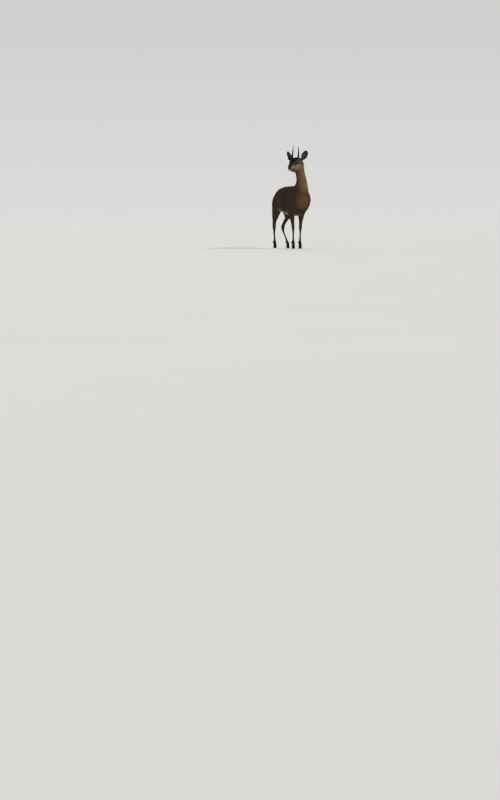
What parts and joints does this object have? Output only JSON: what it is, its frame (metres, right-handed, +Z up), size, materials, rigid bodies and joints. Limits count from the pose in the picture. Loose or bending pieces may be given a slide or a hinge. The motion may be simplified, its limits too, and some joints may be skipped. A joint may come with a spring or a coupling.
{
  "type": "klipspringer",
  "caption": "Life-size standing klipspringer, a small rock antelope with upright horns, rounded ears and a thick coat, head turned to its right, for display.",
  "frame": {"origin": "centre of the figure's box on the floor, under the soles", "axes": "+Z up, -Y the way the body faces, +X the animal's left"},
  "size_m": [0.262, 0.5078, 0.8737],
  "materials": {
    "coat_body": "short dense hair, grizzled olive brown",
    "coat_leg": "short flat hair, grey brown",
    "coat_face": "very short hair, warm tan with a dark forehead",
    "ear": "short hair outside, thin pale hair over dark skin inside",
    "horn": "ringed black horn",
    "hoof": "smooth dark hoof",
    "nose": "moist bare dark skin",
    "eye": "wet dark brown"
  },
  "bodies": {
    "root": {"dewclaw_fore_left_inner": "hoof", "dewclaw_fore_left_outer": "hoof", "dewclaw_fore_right_inner": "hoof", "dewclaw_fore_right_outer": "hoof", "dewclaw_hind_left_inner": "hoof", "dewclaw_hind_left_outer": "hoof", "dewclaw_hind_right_inner": "hoof", "dewclaw_hind_right_outer": "hoof", "ear_left": "ear", "ear_right": "ear", "eye_left": "eye", "eye_right": "eye", "head": "coat_face", "hoof_fore_left_inner": "hoof", "hoof_fore_left_outer": "hoof", "hoof_fore_right_inner": "hoof", "hoof_fore_right_outer": "hoof", "hoof_hind_left_inner": "hoof", "hoof_hind_left_outer": "hoof", "hoof_hind_right_inner": "hoof", "hoof_hind_right_outer": "hoof", "horn_left": "horn", "horn_right": "horn", "leg_fore_left_lower": "coat_leg", "leg_fore_left_upper": "coat_leg", "leg_fore_right_lower": "coat_leg", "leg_fore_right_upper": "coat_leg", "leg_hind_left_lower": "coat_leg", "leg_hind_left_upper": "coat_leg", "leg_hind_right_lower": "coat_leg", "leg_hind_right_upper": "coat_leg", "neck": "coat_body", "nose_pad": "nose", "tail": "coat_body", "torso": "coat_body"}
  },
  "joints": []
}
